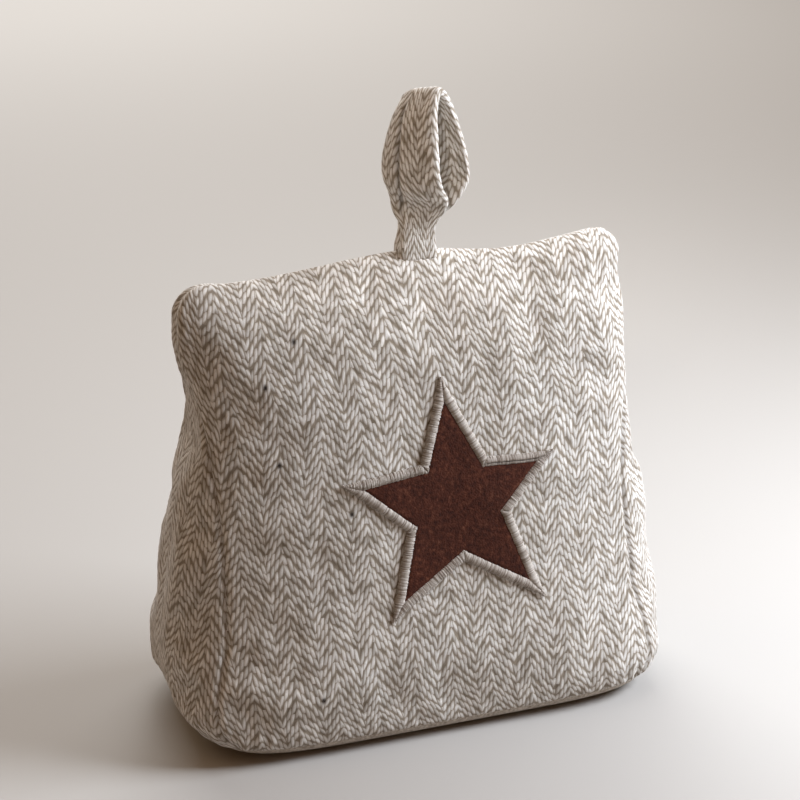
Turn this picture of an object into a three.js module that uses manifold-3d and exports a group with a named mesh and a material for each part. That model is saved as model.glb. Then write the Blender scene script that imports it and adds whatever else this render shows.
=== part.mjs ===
// Weighted door stop: a stuffed wedge of herringbone cloth, ballasted and sewn shut, with a cloth
// carrying loop on its ridge and a felt star stitched on its front.
// Millimetres, +Z up. The origin is on the floor under the middle of the base. The star faces -Y.

import * as THREE from 'three';
import Module from 'manifold-3d';

const wasm = await Module();
wasm.setup();

// Driving dimensions of the stuffed bag
const BAG_HEIGHT = 275;
const BASE_WIDTH = 284;
const BASE_DEPTH = 165;
const BELLY_WIDTH = 307;
const BELLY_HEIGHT = 31;
const LOW_WIDTH = 302.6;
const LOW_DEPTH = 118;
const LOW_HEIGHT = 90;
const MIDDLE_WIDTH = 281;
const MIDDLE_DEPTH = 96;
const MIDDLE_HEIGHT = 150;
const WAIST_WIDTH = 266.4;
const WAIST_DROP = 76;
const SHOULDER_DEPTH = 62;
const SHOULDER_DROP = 49;
const EAR_WIDTH = 270;
const EAR_DROP = 35;
const RIDGE_DEPTH = 24;
const RIDGE_ROUND = 14;
const LEFT_EAR_ROUND = 24;
const RIGHT_EAR_ROUND = 16;
const BASE_ROUND = 26;
const CORNER_SQUARENESS = 4.2;
const BASE_SQUARENESS = 6;
const SQUARE_FOOT_HEIGHT = 70;

// Sideways sway of the bag's middle: [height, shift to the right]
const SWAY = [[0, 2.5], [31, -1.5], [90, 0], [150, 0], [199, 2.2], [240, -1], [275, -0.8]];

// Ridge line: [across, rise above BAG_HEIGHT]
const RIDGE_LINE = [[-137, 2.5], [-104, -4.8], [0, 4], [60, -1], [104, 3], [137, 8.5]];

// Hollows where the cloth is slack: [across, up, half width, half height, depth]
const HANDLE_HOLLOW = [10, 244, 20, 24, 3.5];
const RIGHT_FOLD = [70, 236, 13, 34, 3.5];
const LEFT_FOLD = [-72, 250, 22, 20, 2.5];

// Seams: the pointed side gussets, and the seam round the base
const GUSSET_HEIGHT = 214;
const GUSSET_FULLNESS = 5;
const SEAM_SHARE = 0.86;
const SEAM_GROOVE = 1.6;
const SEAM_ALLOWANCE = 3.5;
const SEAM_TURN_DEPTH = 20;
const BASE_SEAM_HEIGHT = 6;
const BASE_SEAM_GROOVE = 1.2;
const PUCKER_DEPTH = 2.4;
const PUCKER_REACH = 30;
const PUCKER_COLUMNS = 3;

// Herringbone weave
const PANEL_COLUMNS = 20;
const GUSSET_COLUMNS = 8;
const COLUMN_WIDTH = 13.6;
const TWILL_REPEAT = 8;
const TWILL_DEPTH = 0.9;
const TWILL_RISE = 2;
const PLAIN_BASE = 20;
const PLAIN_RIDGE = 14;
const PLAIN_TIP = 30;

// Felt star and its stitched border
const STAR_X = 12;
const STAR_HEIGHT = 136;
const FELT_THICKNESS = 1.3;
const BORDER_WIDTH = 5.2;
const BORDER_THICKNESS = 2.6;
const STITCH_PITCH = 4.4;
const STITCH_RELIEF = 0.6;
const CREST_START = 0.22;
const CREST_END = 0.74;

// Corners of the hand-cut star, tips and notches by turns from the top tip to the left:
// [across, up] from its middle, along the cloth
const STAR_CORNERS = [
  [-2.4, 62], [-15.5, 22], [-54.7, 18], [-24.7, -8.7], [-35.6, -51.4],
  [3, -26.9], [42.6, -50.6], [27.3, -5.8], [51.8, 20.5], [18, 21.6],
];

// Carrying loop
const LOOP_X = 7;
const LOOP_RISE = 92.5;
const STRAP_THICKNESS = 6;
const LOOP_TURN = 52;
const TURN_HEIGHT = 52;
const LOOP_LEAN = 5;
const LEAN_HEIGHT = 45;
const FOOT_SINK = 9;

// Middle line of one leg of the loop: [height above the ridge, distance from the loop's middle]
const LEG_LINE = [[3, 4.2], [15, 3.7], [27, 5.6], [39.5, 15.5], [52, 16], [65, 14.3], [84.5, 8]];

// Width of the strap: [height above the ridge, width]
const STRAP_WIDTHS = [
  [0, 22.5], [14, 20.5], [25, 32], [40, 38], [51, 40], [67, 35.5], [86, 28], [96, 25],
];

// The strap's left part is creased inward, its right rim curls in and its top falls to the left
const CREASE_START = 0.42;
const CREASE_DEPTH = 5;
const CURL_START = 0.72;
const CURL_DEPTH = 1.5;
const TOP_TILT = 4.5;
const FLAT_FOOT = [14, 40];
const FLAT_TOP = [72, 90];
const TOP_FLATNESS = 0.6;

// Gap between pieces that touch
const CLEARANCE = 0.3;

const CLOTH = new THREE.MeshStandardMaterial({ color: 0xa89f92, roughness: 0.95, metalness: 0 });
const FELT = new THREE.MeshStandardMaterial({ color: 0x4a2318, roughness: 1, metalness: 0 });
const THREAD = new THREE.MeshStandardMaterial({ color: 0x857a70, roughness: 0.7, metalness: 0 });

// Smooth curve through stations [position, value], in rising order of position
function through(stations) {
  const last = stations.length - 1;
  const slope = (i) => {
    const [p0, v0] = stations[Math.max(i - 1, 0)];
    const [p1, v1] = stations[Math.min(i + 1, last)];
    return (v1 - v0) / (p1 - p0);
  };
  return (p) => {
    const at = THREE.MathUtils.clamp(p, stations[0][0], stations[last][0]);
    const i = Math.max(stations.findIndex(([end]) => end >= at) - 1, 0);
    const [p0, v0] = stations[i];
    const [p1, v1] = stations[i + 1];
    const span = p1 - p0;
    const t = (at - p0) / span;
    const hermite = (2 * t ** 3 - 3 * t ** 2 + 1) * v0 + (3 * t ** 2 - 2 * t ** 3) * v1;
    return hermite + span * ((t ** 3 - 2 * t ** 2 + t) * slope(i) + (t ** 3 - t ** 2) * slope(i + 1));
  };
}

const halfWidthAt = through([
  [0, BASE_WIDTH / 2],
  [BELLY_HEIGHT, BELLY_WIDTH / 2],
  [LOW_HEIGHT, LOW_WIDTH / 2],
  [MIDDLE_HEIGHT, MIDDLE_WIDTH / 2],
  [BAG_HEIGHT - WAIST_DROP, WAIST_WIDTH / 2],
  [BAG_HEIGHT - EAR_DROP, EAR_WIDTH / 2],
  [BAG_HEIGHT, EAR_WIDTH / 2],
]);

const halfDepthAt = through([
  [0, BASE_DEPTH / 2],
  [LOW_HEIGHT, LOW_DEPTH / 2],
  [MIDDLE_HEIGHT, MIDDLE_DEPTH / 2],
  [BAG_HEIGHT - SHOULDER_DROP, SHOULDER_DEPTH / 2],
  [BAG_HEIGHT, RIDGE_DEPTH / 2],
]);

const swayAt = through(SWAY);
const ridgeRiseAt = through(RIDGE_LINE);

function squarenessAt(z) {
  const foot = THREE.MathUtils.clamp(1 - z / SQUARE_FOOT_HEIGHT, 0, 1);
  return THREE.MathUtils.lerp(CORNER_SQUARENESS, BASE_SQUARENESS, foot);
}

// How far an ear's round corner draws the side in
function earInset(z, round) {
  const into = THREE.MathUtils.clamp(z - (BAG_HEIGHT - round), 0, round);
  return round - Math.sqrt(round ** 2 - into ** 2);
}

// Length of the bag's upright outline from the edge of the flat base to the ridge
const BASE_ARC = BASE_ROUND * Math.PI / 2;
const RIDGE_ARC = RIDGE_ROUND * Math.PI / 2;
const OUTLINE_LENGTH = BASE_ARC + BAG_HEIGHT - BASE_ROUND - RIDGE_ROUND + RIDGE_ARC;

// Ring of the bag at a length up that outline: its height, half width and half depth
function ringAt(length, grow) {
  const baseTurn = Math.min(length / BASE_ROUND, Math.PI / 2);
  const ridgeStart = OUTLINE_LENGTH - RIDGE_ARC;
  const ridgeTurn = Math.max((length - ridgeStart) / RIDGE_ROUND, 0);
  const upright = THREE.MathUtils.clamp(length, BASE_ARC, ridgeStart) - BASE_ARC;
  const z = BASE_ROUND * (1 - Math.cos(baseTurn)) + upright + RIDGE_ROUND * Math.sin(ridgeTurn);
  const inset = BASE_ROUND * (1 - Math.sin(baseTurn));
  return {
    z: z + grow * z / BAG_HEIGHT,
    left: halfWidthAt(z) - inset - earInset(z, LEFT_EAR_ROUND) + grow,
    right: halfWidthAt(z) - inset - earInset(z, RIGHT_EAR_ROUND) + grow,
    halfDepth: (halfDepthAt(z) - inset) * Math.max(Math.cos(ridgeTurn), 0) + grow,
  };
}

function hollowAt(x, z) {
  return [HANDLE_HOLLOW, RIGHT_FOLD, LEFT_FOLD].reduce((sum, [x0, z0, wide, high, depth]) => {
    return sum + depth * Math.exp(-(((x - x0) / wide) ** 2) - ((z - z0) / high) ** 2);
  }, 0);
}

// Slack on the front thins out into the ridge, so that the two faces never cross there
function slacken(x, y, z, halfDepth) {
  const fullness = Math.min(halfDepth / SHOULDER_DEPTH * 2, 1);
  const share = y < 0 ? -y / Math.max(halfDepth, 1) : 0;
  return y + hollowAt(x, z) * share * fullness;
}

// Point of a ring in the direction of an angle: a rounded rectangle that squareness sets
function ringPoint(ring, angle) {
  const c = Math.cos(angle);
  const s = Math.sin(angle);
  const power = squarenessAt(ring.z);
  const reach = (Math.abs(c) ** power + Math.abs(s) ** power) ** (-1 / power);
  const x = (c < 0 ? ring.left : ring.right) * c * reach + swayAt(ring.z);
  const y = slacken(x, ring.halfDepth * s * reach, ring.z, ring.halfDepth);
  const z = ring.z + ridgeRiseAt(x) * (ring.z / BAG_HEIGHT) ** 3;
  return new THREE.Vector3(x, y, z);
}

// Angle of the front right seam: it starts at the corner and ends at the side, at the gusset's tip
function seamAngle(z) {
  const up = Math.min(z / GUSSET_HEIGHT, 1);
  const share = SEAM_SHARE * Math.sqrt(1 - up ** GUSSET_FULLNESS);
  const power = squarenessAt(z);
  return Math.atan2(share, (1 - share ** power) ** (1 / power));
}

// Points on a ring between two angles: woven columns from the middle out, none wider than the weave
// has them apart from the outer two, and a narrow strip by each seam
function panelPoints(ring, from, to, columns) {
  const SAMPLES = 180;
  const trace = Array.from({ length: SAMPLES + 1 }, (_, i) => {
    return ringPoint(ring, THREE.MathUtils.lerp(from, to, i / SAMPLES));
  });
  const lengths = [0];
  trace.slice(1).forEach((p, i) => lengths.push(lengths[i] + p.distanceTo(trace[i])));
  const total = lengths[SAMPLES];
  const strip = Math.min(SEAM_ALLOWANCE, total / (columns + 2));
  const pitch = Math.min((total - 2 * strip) / columns, COLUMN_WIDTH);
  const wanted = [0, strip];
  for (let i = 1; i < columns; i += 1) {
    wanted.push(total / 2 + (i - columns / 2) * pitch);
  }
  wanted.push(total - strip, total);
  return wanted.map((length) => {
    const i = Math.max(lengths.findIndex((end) => end >= length - 1e-9), 1);
    const t = (length - lengths[i - 1]) / Math.max(lengths[i] - lengths[i - 1], 1e-9);
    return trace[i - 1].clone().lerp(trace[i], t);
  });
}

// Collects triangles, giving vertices that share a place one number, and skips those without area
class Skin {
  constructor() {
    this.numbers = new Map();
    this.positions = [];
    this.triangles = [];
  }

  vertex(p) {
    const key = [p.x, p.y, p.z].map((v) => Math.round(v * 1e4)).join();
    if (!this.numbers.has(key)) {
      this.numbers.set(key, this.positions.length / 3);
      this.positions.push(p.x, p.y, p.z);
    }
    return this.numbers.get(key);
  }

  triangle(a, b, c) {
    const corners = [a, b, c].map((p) => this.vertex(p));
    if (new Set(corners).size === 3) {
      this.triangles.push(...corners);
    }
  }

  geometry() {
    const geometry = new THREE.BufferGeometry();
    geometry.setAttribute('position', new THREE.Float32BufferAttribute(this.positions, 3));
    geometry.setIndex(this.triangles);
    return geometry;
  }
}

// Joins two upright rows of points. The right row runs ahead of the left by a number of points,
// which lays the joining edges along the twill
function zip(skin, left, right, ahead) {
  const top = left.length - 1;
  let l = 0;
  let r = 0;
  while (l < top || r < top) {
    const leftIsDue = ahead >= 0 ? l + ahead <= r : l + ahead < r;
    if (l < top && (r === top || leftIsDue)) {
      skin.triangle(left[l], right[r], left[l + 1]);
      l += 1;
    } else {
      skin.triangle(left[l], right[r], right[r + 1]);
      r += 1;
    }
  }
}

// Joins two rows by the twill, and straight across where the cloth turns at its two ends
function zipTwill(skin, left, right, ahead, start, end) {
  zip(skin, left.slice(0, start + 1), right.slice(0, start + 1), 0);
  zip(skin, left.slice(start, end + 1), right.slice(start, end + 1), ahead);
  zip(skin, left.slice(end), right.slice(end), 0);
}

// Four panels round the bag, counter-clockwise from the front left seam
function panels(z) {
  const corner = seamAngle(z);
  return [
    { from: Math.PI + corner, to: 2 * Math.PI - corner, columns: PANEL_COLUMNS, isGusset: false },
    { from: -corner, to: corner, columns: GUSSET_COLUMNS, isGusset: true },
    { from: corner, to: Math.PI - corner, columns: PANEL_COLUMNS, isGusset: false },
    { from: Math.PI - corner, to: Math.PI + corner, columns: GUSSET_COLUMNS, isGusset: true },
  ];
}

// How far a point of the cloth lies below the smooth bag: weave, seams and gathered corners
function sinkAt(panel, column, level, length, z) {
  const isSeam = column === 0 || column === panel.columns + 2;
  const edge = Math.min(column, panel.columns + 2 - column);
  const woven = length > PLAIN_BASE && length < OUTLINE_LENGTH - PLAIN_RIDGE;
  const weave = woven && level % 2 === 1 && !isSeam ? TWILL_DEPTH : 0;
  const seam = isSeam && length > 0 && length < OUTLINE_LENGTH - RIDGE_ARC ? SEAM_GROOVE : 0;
  const besideBaseSeam = Math.abs(length - BASE_SEAM_HEIGHT) < TWILL_REPEAT / 4;
  const baseSeam = besideBaseSeam ? BASE_SEAM_GROOVE : 0;
  const drawn = edge % 2 === 0 && edge <= 2 * PUCKER_COLUMNS && !isSeam;
  const gather = drawn ? Math.max(1 - z / PUCKER_REACH, 0) * PUCKER_DEPTH * 2 / edge : 0;
  return length > 0 ? weave + seam + baseSeam + gather : 0;
}

// Grid of the bag: for each panel its columns, each a row of points from the base to the ridge
function bagGrid() {
  const levels = 2 * Math.round(OUTLINE_LENGTH / TWILL_REPEAT);
  const heights = Array.from({ length: levels + 1 }, (_, i) => OUTLINE_LENGTH * i / levels);
  const rings = heights.map((length) => ringAt(length, 0));
  const tip = rings.findIndex((ring) => ring.z >= GUSSET_HEIGHT);
  const around = rings.map((ring) => {
    return panels(ring.z).map((panel) => panelPoints(ring, panel.from, panel.to, panel.columns));
  });
  return panels(0).map((panel, p) => {
    const count = panel.columns + 3;
    return Array.from({ length: count }, (_, c) => {
      const top = panel.isGusset ? tip : levels;
      return Array.from({ length: top + 1 }, (_, k) => {
        const point = around[k][p][c].clone();
        const sink = sinkAt(panel, c, k, heights[k], rings[k].z);
        const belowTip = (heights[tip] - heights[k]) / PLAIN_TIP - 1;
        const isFaded = panel.isGusset && c > 0 && c < count - 1;
        const fade = isFaded ? THREE.MathUtils.clamp(belowTip, 0, 1) : 1;
        return point.addScaledVector(outwardAt(around, k, p, c), -sink * fade);
      });
    });
  });
}

// Outward direction of the smooth bag at a grid point, level at the ends of the outline
function outwardAt(around, k, p, c) {
  const row = around[k][p];
  const along = row[Math.min(c + 1, row.length - 1)].clone().sub(row[Math.max(c - 1, 0)]);
  const upper = around[Math.min(k + 1, around.length - 1)][p][c];
  const lower = around[Math.max(k - 1, 0)][p][c];
  const up = upper.clone().sub(lower);
  const normal = along.cross(up);
  if (normal.length() < 1e-6 || c === 0 || c === row.length - 1) {
    normal.set(row[c].x > 0 ? 1 : -1, 0, 0);
    normal.y = THREE.MathUtils.clamp(row[c].y / SEAM_TURN_DEPTH, -1, 1);
  }
  return normal.normalize();
}

function closeBase(skin, rim) {
  const outline = rim.map((p) => new THREE.Vector2(p.x, p.y));
  THREE.ShapeUtils.triangulateShape(outline, []).forEach(([a, b, c]) => {
    skin.triangle(rim[a], rim[c], rim[b]);
  });
}

// The woven bag, closed and stuffed
function bagGeometry() {
  const skin = new Skin();
  const grid = bagGrid();
  const levelsIn = (length) => Math.round(2 * length / TWILL_REPEAT);
  grid.forEach((columns, p) => {
    const isGusset = p % 2 === 1;
    columns.slice(1).forEach((right, i) => {
      const isStrip = i === 0 || i === columns.length - 2;
      const direction = i % 2 === 0 ? 1 : -1;
      const ahead = isStrip ? 0 : direction * 2 * TWILL_RISE;
      const end = right.length - 1 - levelsIn(isGusset ? PLAIN_TIP : PLAIN_RIDGE);
      zipTwill(skin, columns[i], right, ahead, levelsIn(PLAIN_BASE), end);
    });
  });
  closeBase(skin, grid.flatMap((columns) => columns.slice(0, -1).map((column) => column[0])));
  return skin.geometry();
}

// A smooth bag a little larger than the woven one, which cuts the seats of what rests on it
function smoothBagGeometry(grow) {
  const LEVELS = 60;
  const SIDES = 96;
  const skin = new Skin();
  const rings = Array.from({ length: LEVELS + 1 }, (_, k) => {
    const ring = ringAt(OUTLINE_LENGTH * k / LEVELS, grow);
    return Array.from({ length: SIDES }, (_, i) => ringPoint(ring, 2 * Math.PI * i / SIDES));
  });
  for (let i = 0; i < SIDES; i += 1) {
    const next = (i + 1) % SIDES;
    zip(skin, rings.map((ring) => ring[i]), rings.map((ring) => ring[next]), 0);
  }
  closeBase(skin, rings[0]);
  const lid = rings[LEVELS];
  for (let i = 0; i < SIDES / 2; i += 1) {
    skin.triangle(lid[i], lid[i + 1], lid[SIDES - 1 - i]);
    skin.triangle(lid[i], lid[SIDES - 1 - i], lid[(SIDES - i) % SIDES]);
  }
  return skin.geometry();
}

// Point of the front face at a place across and up, lifted off the cloth along its normal
function frontPoint(x, z, lift) {
  const place = (px, pz) => {
    const share = Math.min(Math.abs(px - swayAt(pz)) / halfWidthAt(pz), 1);
    const halfDepth = halfDepthAt(pz);
    const power = squarenessAt(pz);
    const y = -halfDepth * (1 - share ** power) ** (1 / power);
    const rise = ridgeRiseAt(px) * (pz / BAG_HEIGHT) ** 3;
    return new THREE.Vector3(px, slacken(px, y, pz, halfDepth), pz + rise);
  };
  const across = place(x + 1, z).sub(place(x - 1, z));
  const up = place(x, z + 1).sub(place(x, z - 1));
  return place(x, z).addScaledVector(across.cross(up).normalize(), lift);
}

// Corners of the star in the plane of the front face, with each edge moved outward by a margin
function starCorners(margin) {
  const count = STAR_CORNERS.length;
  const corner = (i) => new THREE.Vector2(...STAR_CORNERS[(i + count) % count]);
  const outwardOf = (i) => {
    const edge = corner(i + 1).sub(corner(i)).normalize();
    return new THREE.Vector2(edge.y, -edge.x);
  };
  return STAR_CORNERS.map((_, i) => {
    const [before, after] = [outwardOf(i - 1), outwardOf(i)];
    const mitre = before.clone().add(after).divideScalar(1 + before.dot(after));
    return corner(i).addScaledVector(mitre, margin);
  });
}

// Lays a point of the star's plane on the leaning front face
function onFront(p, lift) {
  const lean = Math.atan2((BASE_DEPTH - SHOULDER_DEPTH) / 2, BAG_HEIGHT - SHOULDER_DROP);
  return frontPoint(STAR_X + p.x, STAR_HEIGHT + p.y * Math.cos(lean), lift);
}

// Felt star: ten triangular sectors, each split small enough to follow the bulge of the cloth
function starGeometry() {
  const SPLITS = 3;
  const skin = new Skin();
  const corners = starCorners(-CLEARANCE);
  const centre = new THREE.Vector2();
  corners.forEach((a, i) => {
    const b = corners[(i + 1) % corners.length];
    const spot = (u, v) => centre.clone().addScaledVector(a, u / SPLITS).addScaledVector(b, v / SPLITS);
    const both = (p, q, r) => {
      const top = [p, q, r].map((s) => onFront(s, CLEARANCE + FELT_THICKNESS));
      const under = [p, r, q].map((s) => onFront(s, CLEARANCE));
      skin.triangle(...top);
      skin.triangle(...under);
    };
    for (let u = 0; u < SPLITS; u += 1) {
      for (let v = 0; u + v < SPLITS; v += 1) {
        both(spot(u, v), spot(u + 1, v), spot(u, v + 1));
        if (u + v < SPLITS - 1) {
          both(spot(u + 1, v), spot(u + 1, v + 1), spot(u, v + 1));
        }
      }
      const [p, q] = [spot(SPLITS - u, u), spot(SPLITS - u - 1, u + 1)];
      const wall = [onFront(p, CLEARANCE), onFront(q, CLEARANCE)];
      const rim = [onFront(p, CLEARANCE + FELT_THICKNESS), onFront(q, CLEARANCE + FELT_THICKNESS)];
      skin.triangle(wall[0], wall[1], rim[1]);
      skin.triangle(wall[0], rim[1], rim[0]);
    }
  });
  return skin.geometry();
}

// Stitched border: a raised cord round the star, ribbed by its satin stitches
function borderGeometry() {
  const skin = new Skin();
  const inner = starCorners(0);
  const outer = starCorners(BORDER_WIDTH);
  const sections = [];
  inner.forEach((corner, i) => {
    const next = (i + 1) % inner.length;
    const stitches = 2 * Math.round(corner.distanceTo(inner[next]) / STITCH_PITCH);
    for (let k = 0; k < stitches; k += 1) {
      const t = k / stitches;
      const from = corner.clone().lerp(inner[next], t);
      const to = outer[i].clone().lerp(outer[next], t);
      const crest = BORDER_THICKNESS - (k % 2 === 1 ? STITCH_RELIEF : 0);
      sections.push([
        onFront(from, CLEARANCE),
        onFront(from.clone().lerp(to, CREST_START), CLEARANCE + crest),
        onFront(from.clone().lerp(to, CREST_END), CLEARANCE + crest),
        onFront(to, CLEARANCE),
      ]);
    }
  });
  sections.forEach((section, k) => {
    const next = sections[(k + 1) % sections.length];
    section.forEach((p, i) => {
      const j = (i + 1) % section.length;
      skin.triangle(p, section[j], next[i]);
      skin.triangle(section[j], next[j], next[i]);
    });
  });
  return skin.geometry();
}

// Middle line of the strap, from the foot of the near leg over the top to the foot of the far one
function loopCurve() {
  const leg = [[-FOOT_SINK, LEG_LINE[0][1]], ...LEG_LINE];
  const near = leg.map(([up, out]) => new THREE.Vector3(0, -out, up));
  const far = leg.map(([up, out]) => new THREE.Vector3(0, out, up)).reverse();
  const top = new THREE.Vector3(0, 0, LOOP_RISE);
  return new THREE.CatmullRomCurve3([...near, top, ...far], false, 'centripetal');
}

const strapWidthAt = through(STRAP_WIDTHS);

// How far the strap is folded inward at a share across it, from -1 at the left to 1 at the right
function strapFold(share, height) {
  const { smoothstep } = THREE.MathUtils;
  const crease = CREASE_DEPTH * Math.max((-share - CREASE_START) / (1 - CREASE_START), 0);
  const curl = CURL_DEPTH * Math.max((share - CURL_START) / (1 - CURL_START), 0);
  const flatTop = smoothstep(height, ...FLAT_TOP);
  const fullness = smoothstep(height, ...FLAT_FOOT) * (1 - TOP_FLATNESS * flatTop);
  return (crease + curl) * fullness + TOP_TILT * flatTop * (1 - share) / 2;
}

// The loop turns about the upright and leans to the right as it rises
function turned(p) {
  const { degToRad, smoothstep } = THREE.MathUtils;
  const turn = degToRad(-LOOP_TURN) * smoothstep(p.z, 0, TURN_HEIGHT);
  const lean = LOOP_LEAN * smoothstep(p.z, 0, LEAN_HEIGHT);
  p.applyAxisAngle(new THREE.Vector3(0, 0, 1), turn);
  return p.add(new THREE.Vector3(LOOP_X + lean, 0, BAG_HEIGHT + ridgeRiseAt(LOOP_X)));
}

// Outline of the strap's section: shares of its half width and half thickness
function strapSection(sides) {
  const FULLNESS = 0.55;
  const full = (v) => Math.sign(v) * Math.abs(v) ** FULLNESS;
  return Array.from({ length: sides }, (_, i) => {
    const angle = 2 * Math.PI * (i + 0.5) / sides;
    return [full(Math.cos(angle)), full(Math.sin(angle))];
  });
}

// Strap of folded cloth
function strapGeometry() {
  const STEPS = 34;
  const SIDES = 16;
  const curve = loopCurve();
  const skin = new Skin();
  const across = new THREE.Vector3(1, 0, 0);
  const rings = Array.from({ length: STEPS + 1 }, (_, k) => {
    const centre = curve.getPointAt(k / STEPS);
    const inward = curve.getTangentAt(k / STEPS).cross(across);
    const halfWidth = strapWidthAt(centre.z) / 2;
    return strapSection(SIDES).map(([edge, face]) => {
      const depth = face * STRAP_THICKNESS / 2 + strapFold(edge, centre.z);
      const p = centre.clone().addScaledVector(across, edge * halfWidth);
      return turned(p.addScaledVector(inward, depth));
    });
  });
  for (let i = 0; i < SIDES; i += 1) {
    const next = (i + 1) % SIDES;
    zip(skin, rings.map((ring) => ring[i]), rings.map((ring) => ring[next]), 0);
  }
  for (let i = 1; i < SIDES - 1; i += 1) {
    skin.triangle(rings[0][0], rings[0][i + 1], rings[0][i]);
    skin.triangle(rings[STEPS][0], rings[STEPS][i], rings[STEPS][i + 1]);
  }
  return skin.geometry();
}

function toSolid(geometry) {
  const vertProperties = new Float32Array(geometry.attributes.position.array);
  const triVerts = new Uint32Array(geometry.index.array);
  return new wasm.Manifold(new wasm.Mesh({ numProp: 3, vertProperties, triVerts }));
}

function toGeometry(solid) {
  const { vertProperties, triVerts } = solid.getMesh();
  const geometry = new THREE.BufferGeometry();
  geometry.setAttribute('position', new THREE.BufferAttribute(vertProperties, 3));
  geometry.setIndex(new THREE.BufferAttribute(triVerts, 1));
  return geometry;
}

// The strap's two feet are cut to sit astride the ridge
function loopGeometry() {
  return toGeometry(toSolid(strapGeometry()).subtract(toSolid(smoothBagGeometry(CLEARANCE))));
}

function named(name, geometry, material) {
  const mesh = new THREE.Mesh(geometry, material);
  mesh.name = name;
  return mesh;
}

const doorStop = new THREE.Group();
doorStop.add(
  named('bag_body', bagGeometry(), CLOTH),
  named('star_applique', starGeometry(), FELT),
  named('star_border', borderGeometry(), THREAD),
  named('handle_loop', loopGeometry(), CLOTH),
);

export default doorStop;
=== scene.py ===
"""Looks of the weighted door stop: herringbone cloth, felt star, satin stitches and carrying loop."""

import math

import bmesh
import bpy
import numpy as np
from mathutils import Matrix, Vector


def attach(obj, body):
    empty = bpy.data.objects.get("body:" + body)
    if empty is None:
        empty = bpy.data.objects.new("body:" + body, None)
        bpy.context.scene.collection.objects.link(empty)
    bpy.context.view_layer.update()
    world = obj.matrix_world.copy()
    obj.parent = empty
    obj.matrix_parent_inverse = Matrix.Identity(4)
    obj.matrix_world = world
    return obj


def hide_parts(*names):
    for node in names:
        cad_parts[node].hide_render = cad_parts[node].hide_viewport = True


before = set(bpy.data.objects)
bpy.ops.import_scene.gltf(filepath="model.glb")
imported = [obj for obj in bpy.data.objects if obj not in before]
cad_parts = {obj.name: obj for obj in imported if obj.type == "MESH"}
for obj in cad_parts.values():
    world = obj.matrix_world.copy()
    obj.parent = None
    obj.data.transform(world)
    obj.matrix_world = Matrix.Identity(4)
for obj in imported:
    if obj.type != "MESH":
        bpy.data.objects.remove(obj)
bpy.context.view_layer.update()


MM = 0.001

# The bag, in millimetres, as the solid has it
BAG_HEIGHT = 275.0
BASE_WIDTH, BASE_DEPTH = 284.0, 165.0
BELLY_WIDTH, BELLY_HEIGHT = 307.0, 31.0
LOW_WIDTH, LOW_DEPTH, LOW_HEIGHT = 302.6, 118.0, 90.0
MIDDLE_WIDTH, MIDDLE_DEPTH, MIDDLE_HEIGHT = 281.0, 96.0, 150.0
WAIST_WIDTH, WAIST_DROP = 266.4, 76.0
SHOULDER_DEPTH, SHOULDER_DROP = 62.0, 49.0
EAR_WIDTH, EAR_DROP = 270.0, 35.0
LEFT_EAR_ROUND, RIGHT_EAR_ROUND = 24.0, 16.0
RIDGE_DEPTH, RIDGE_ROUND = 24.0, 14.0
BASE_ROUND = 26.0
SQUARENESS, BASE_SQUARENESS, SQUARE_FOOT_HEIGHT = 4.2, 6.0, 70.0
SWAY = [(0, 2.5), (31, -1.5), (90, 0.0), (150, 0.0), (199, 2.2), (240, -1.0), (275, -0.8)]
RIDGE_LINE = [(-137, 2.5), (-104, -4.8), (0, 4.0), (60, -1.0), (104, 3.0), (137, 8.5)]

# Seams, in millimetres from each seam
GUSSET_HEIGHT, GUSSET_FULLNESS, SEAM_SHARE = 214.0, 5.0, 0.86
SEAM_DEPTH, SEAM_REACH, SEAM_FLAT = 1.5, 1.8, 1.2
# Painted shade in the seam grooves: how dark it is and how far it reaches
SEAM_SHADE, SEAM_SHADE_REACH = 0.22, 1.1
SIDE_SEAM_SHARE, SIDE_SEAM_SHADE, SIDE_SEAM_FADE = 0.5, 0.2, 12.0
BASE_SEAM, BASE_SEAM_SHARE, BASE_SEAM_FADE = 22.0, 0.35, 4.0
TUCKS, TUCK_SLOPE = (2.5, 1.0), 0.5

# The ridge, where the normals of front and back turn upward and their cloth calms down
RIDGE_TURN_START, RIDGE_TURN_END = 14.0, 2.0
RIDGE_CALM, RIDGE_FADE = 16.0, 3.0

# Slack places on the front: across, up, half width, half height, depth
FRONT_HOLLOWS = [(10, 244, 20, 24, 3.5), (70, 236, 13, 34, 3.5), (-72, 250, 22, 20, 2.5)]

# Herringbone weave: leaning grains of yarn in falling and rising stripes
YARN = 2.41
FALLING_YARNS, RISING_YARNS, STRIPE_START = 6, 4, 4.5
REPEAT, DROP = 7.2, 0.48
COLUMN_TILT, GRAIN_LEAN = 9.5, 16.0
GRAIN_HALF_WIDTH, GRAIN_HALF_LENGTH = 1.06, 3.3
YARN_BORDER, BORDER_DARKNESS = 0.28, 0.85
WEAVE_DEPTH, CROWN_FLATNESS = 0.2, 0.7
COLUMN_STEP, ROW_STEP = 0.8, 1.1

# How each grain differs by chance: its shift across and along, and its lean
SHIFT_ACROSS, SHIFT_ALONG, LEAN_SPREAD = 0.6, 2.4, 0.22

# How the weave wanders and the cloth rises and falls: amount and size, and the distance from a seam
WANDER_ACROSS = [(1.5, 34), (0.5, 8)]
WANDER_ALONG = [(1.8, 28), (0.9, 6)]
UNEVENNESS = [(0.4, 34, 20.0), (0.3, 9, 6.0)]

# Puckers of the cloth at the base seam
GATHER_PITCH, GATHER_WANDER, GATHER_WANDER_SIZE = 8.5, 1.4, 9
GATHER_HEIGHT, GATHER_CORNER, GATHER_FADE = 12, 30, 3
GATHER_DEPTH, CORNER_GATHER_DEPTH = 0.2, 0.9

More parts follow.
